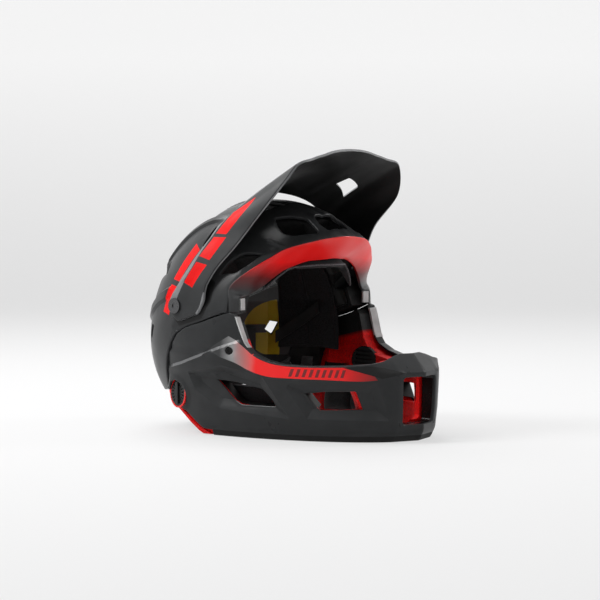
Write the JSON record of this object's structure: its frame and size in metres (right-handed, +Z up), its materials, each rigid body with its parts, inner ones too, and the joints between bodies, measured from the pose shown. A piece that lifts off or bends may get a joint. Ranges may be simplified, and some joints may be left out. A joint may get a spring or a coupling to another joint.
{
  "type": "full-face bicycle helmet",
  "caption": "Full-face mountain-bike helmet with a tilting visor, a chin bar that pulls off forwards, foam liner, pads, chin strap and dial fit.",
  "frame": {"origin": "on the ground, under the middle of the helmet's footprint", "axes": "+X to the wearer's left, -Y to the front, +Z up"},
  "size_m": [0.234, 0.3243, 0.28],
  "materials": {
    "shell_paint": "matt dark grey paint over a thin polycarbonate shell",
    "visor_paint": "matt dark grey, moulded",
    "black_foam": "expanded foam, black beads",
    "red_foam": "expanded foam, red beads",
    "brow_red": "satin red",
    "slip_yellow": "thin low-friction sheet",
    "pad_fabric": "knitted polyester over soft foam",
    "grey_trim": "light grey satin",
    "dark_plastic": "moulded, matt",
    "knob_plastic": "moulded, matt",
    "belt_plastic": "moulded, matt",
    "screw_metal": "blackened",
    "bushing_metal": "turned",
    "keeper_steel": "pressed",
    "neck_rubber": "matt",
    "edge_rubber": "matt",
    "duct_rubber": "matt",
    "housing_red": "satin red",
    "webbing": "woven polyester webbing"
  },
  "bodies": {
    "helmet_body": {"outer_shell": "shell_paint", "eps_liner": "black_foam", "brow_rim": "brow_red", "slip_liner": "slip_yellow", "crown_pad": "pad_fabric", "brow_pad": "pad_fabric", "side_pad_right": "pad_fabric", "side_pad_left": "pad_fabric", "nape_pad": "pad_fabric", "eyeport_strip_right": "grey_trim", "eyeport_strip_left": "grey_trim", "visor_boss_right": "dark_plastic", "visor_boss_left": "dark_plastic", "visor_screw_right": "screw_metal", "visor_screw_left": "screw_metal", "latch_keeper_right": "keeper_steel", "latch_keeper_left": "keeper_steel", "neck_trim": "neck_rubber", "strap_anchors": "keeper_steel", "chin_strap_right": "webbing", "chin_strap_left": "webbing", "strap_buckle": "dark_plastic", "fit_belt_right": "belt_plastic", "fit_belt_left": "belt_plastic", "cradle_guides": "dark_plastic"},
    "visor_body": {"visor": "visor_paint", "visor_bushing_right": "bushing_metal", "visor_bushing_left": "bushing_metal"},
    "chin_bar": {"chin_shell": "shell_paint", "chin_liner": "red_foam", "chin_trim": "edge_rubber", "mouth_frame": "dark_plastic", "rim_strip_right": "grey_trim", "rim_strip_left": "grey_trim", "cheek_pad_right": "pad_fabric", "cheek_pad_left": "pad_fabric", "cheek_duct_right": "duct_rubber", "cheek_duct_left": "duct_rubber", "bar_plug_right": "dark_plastic", "bar_plug_left": "dark_plastic", "latch_housing_right": "housing_red", "latch_housing_left": "housing_red"},
    "knob_right": {"latch_knob_right": "knob_plastic"},
    "knob_left": {"latch_knob_left": "knob_plastic"},
    "cradle": {"fit_cradle": "belt_plastic"},
    "dial": {"fit_dial": "knob_plastic"}
  },
  "joints": [
    {"name": "visor_tilt", "type": "hinge", "parent": "helmet_body", "child": "visor_body", "pos_m": [0, 0.059, 0.126], "axis": [1, 0, 0], "range_deg": [0, 12]},
    {"name": "chin_bar_slide", "type": "slide", "parent": "helmet_body", "child": "chin_bar", "axis": [0, -1, 0], "range_m": [0, 0.26]},
    {"name": "knob_right_turn", "type": "hinge", "parent": "chin_bar", "child": "knob_right", "pos_m": [-0.10089, 0.06844, 0.039], "axis": [-0.9703, 0.2419, 0], "range_deg": [0, 35], "stiffness_Nm_per_rad": 0.05, "springref_deg": -17.19},
    {"name": "knob_left_turn", "type": "hinge", "parent": "chin_bar", "child": "knob_left", "pos_m": [0.10089, 0.06844, 0.039], "axis": [0.9703, 0.2419, 0], "range_deg": [0, 35], "stiffness_Nm_per_rad": 0.05, "springref_deg": -17.19},
    {"name": "cradle_slide", "type": "slide", "parent": "helmet_body", "child": "cradle", "axis": [0, -1, 0], "range_m": [0, 0.01]},
    {"name": "dial_turn", "type": "hinge", "parent": "cradle", "child": "dial", "pos_m": [0, 0.124, 0.0135], "axis": [0, 1, 0], "range_deg": [0, 540]}
  ],
  "couplings": [
    {"joint": "dial_turn", "follows": "cradle_slide", "rad_per_m": 942.48}
  ]
}
